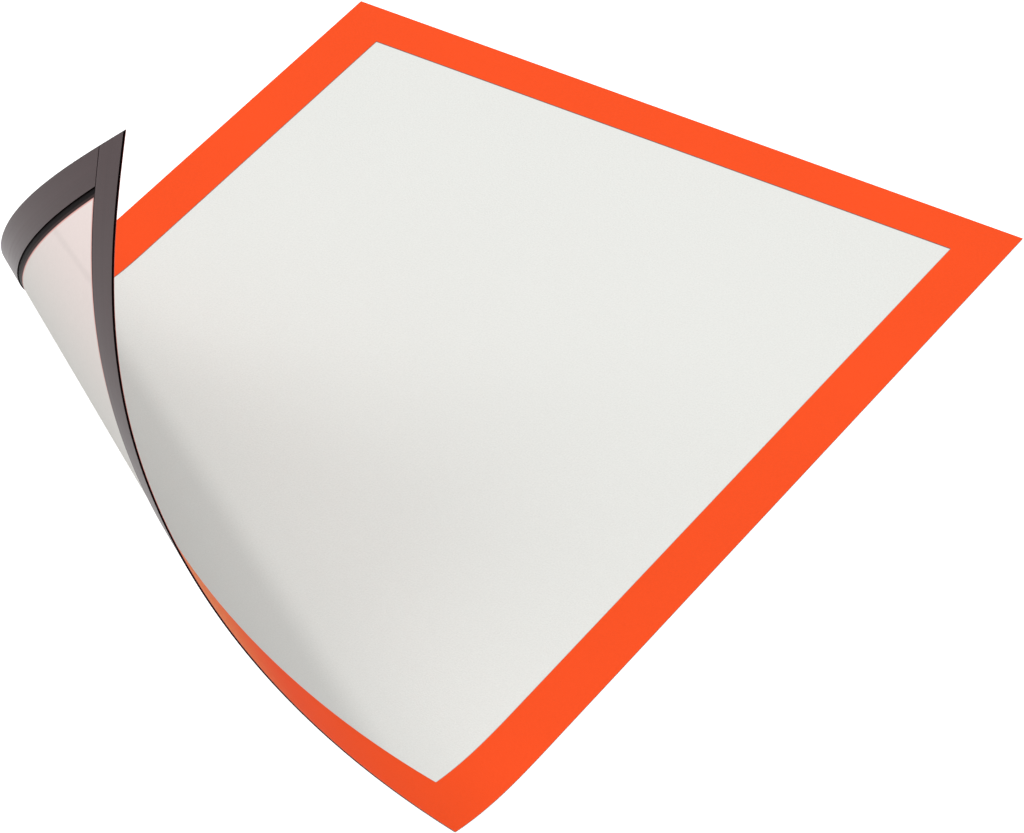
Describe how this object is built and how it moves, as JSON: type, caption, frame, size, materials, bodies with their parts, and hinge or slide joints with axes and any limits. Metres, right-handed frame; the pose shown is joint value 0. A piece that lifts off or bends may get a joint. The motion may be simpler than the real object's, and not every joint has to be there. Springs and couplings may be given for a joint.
{
  "type": "magnetic document pocket",
  "caption": "Flat page pocket: matte window film, orange border and magnetic strips on the back, with one corner curled up and over.",
  "frame": {"origin": "bottom centre of the whole part's bounding box, on the surface that it lies on", "axes": "+X across the page, +Y up the page along the long sides, +Z out of the window's face"},
  "size_m": [0.2374, 0.3234, 0.1163],
  "materials": {
    "orange_film": "satin coloured film, dark on its back",
    "matte_film": "fine matte, translucent",
    "magnetic_rubber": "dark grey brown, smooth matte"
  },
  "bodies": {
    "root": {"front_border": "orange_film", "window_film": "matte_film", "magnet_strip_top": "magnetic_rubber", "magnet_strip_bottom": "magnetic_rubber", "magnet_strip_left": "magnetic_rubber", "magnet_strip_right": "magnetic_rubber"}
  },
  "joints": []
}
